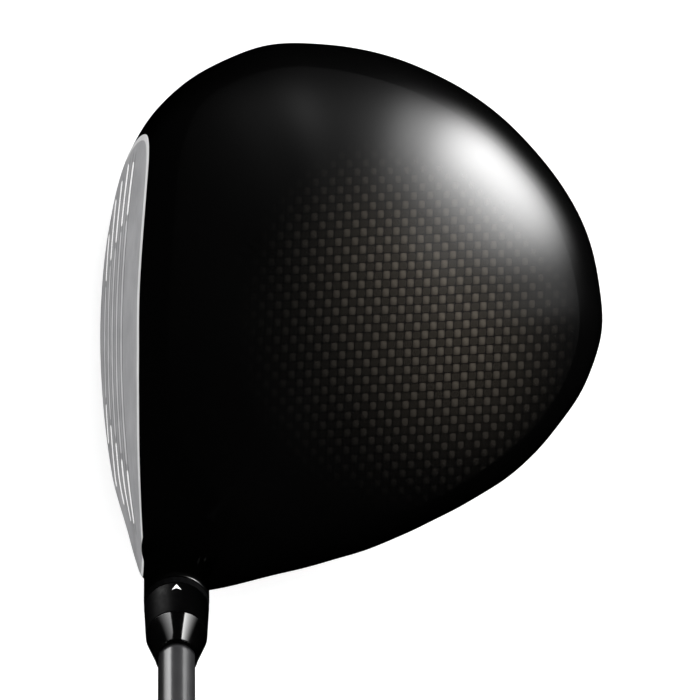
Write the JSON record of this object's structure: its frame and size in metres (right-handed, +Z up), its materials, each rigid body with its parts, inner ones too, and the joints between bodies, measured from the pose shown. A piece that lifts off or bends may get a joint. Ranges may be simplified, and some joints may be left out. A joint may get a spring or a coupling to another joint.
{
  "type": "golf driver",
  "caption": "Right-handed golf driver: hollow rounded head with a lofted face and carbon crown, adjustable hosel, tapered shaft and rubber grip, for striking a ball off a tee.",
  "frame": {"origin": "middle of the flat land on the sole, on the ground, with the club at address", "axes": "+Z up, -X towards the target (the face looks that way), +X to the back of the head, +Y to the toe; the shaft leans to -Y at a 58 degree lie"},
  "size_m": [0.1182, 0.7147, 0.9862],
  "materials": {
    "painted_titanium": "gloss",
    "face_titanium": "satin",
    "carbon_weave": "gloss",
    "steel": "satin",
    "black_steel": "satin",
    "black_anodised": "satin",
    "trim_plastic": "gloss",
    "graphite_shaft": "satin",
    "plug_foam": "matte",
    "tape": "matte",
    "grip_rubber": "matte"
  },
  "bodies": {
    "head": {"body_frame": "painted_titanium", "face_plate": "face_titanium", "crown_panel": "carbon_weave", "sole_panel_toe": "carbon_weave", "sole_panel_heel": "carbon_weave", "screw_retainer": "steel"},
    "index_ring": {"index_ring": "black_anodised"},
    "shaft_assembly": {"adapter_sleeve": "black_anodised", "ferrule": "trim_plastic", "ferrule_ring": "trim_plastic", "shaft": "graphite_shaft", "tip_plug": "plug_foam", "grip_tape": "tape", "grip": "grip_rubber", "grip_cap": "grip_rubber"},
    "screw_washer": {"screw_washer": "steel"},
    "hosel_screw": {"hosel_screw": "black_steel"},
    "rear_weight": {"rear_weight": "steel"},
    "rear_weight_screw": {"rear_weight_screw": "black_steel"},
    "front_weight": {"front_weight": "steel"},
    "front_weight_screw": {"front_weight_screw": "black_steel"}
  },
  "joints": [
    {"name": "shaft_lift", "type": "slide", "parent": "head", "child": "index_ring", "axis": [0, -0.5299, 0.848], "range_m": [0, 0.045]},
    {"name": "shaft_index", "type": "hinge", "parent": "index_ring", "child": "shaft_assembly", "pos_m": [-0.0396, -0.0644, 0.062], "axis": [0, -0.5299, 0.848], "range_deg": [-180, 180]},
    {"name": "screw_travel", "type": "slide", "parent": "head", "child": "screw_washer", "axis": [0, 0.5299, -0.848], "range_m": [0, 0.008]},
    {"name": "screw_turn", "type": "hinge", "parent": "screw_washer", "child": "hosel_screw", "pos_m": [-0.0396, -0.04055, 0.02384], "axis": [0, 0.5299, -0.848], "range_deg": [0, 3600]},
    {"name": "rear_weight_out", "type": "slide", "parent": "head", "child": "rear_weight", "axis": [0.3658, 0, -0.9307], "range_m": [0, 0.006]},
    {"name": "rear_screw_turn", "type": "hinge", "parent": "rear_weight", "child": "rear_weight_screw", "pos_m": [0.044, 0, 0.00907], "axis": [0.3658, 0, -0.9307], "range_deg": [0, 3086]},
    {"name": "front_weight_out", "type": "slide", "parent": "head", "child": "front_weight", "axis": [-0.1589, 0, -0.9873], "range_m": [0, 0.006]},
    {"name": "front_screw_turn", "type": "hinge", "parent": "front_weight", "child": "front_weight_screw", "pos_m": [-0.03, 0, 0.00191], "axis": [-0.1589, 0, -0.9873], "range_deg": [0, 3086]}
  ],
  "couplings": [
    {"joint": "screw_turn", "follows": "screw_travel", "rad_per_m": 7853.9},
    {"joint": "rear_screw_turn", "follows": "rear_weight_out", "rad_per_m": 8975.9},
    {"joint": "front_screw_turn", "follows": "front_weight_out", "rad_per_m": 8975.9}
  ]
}
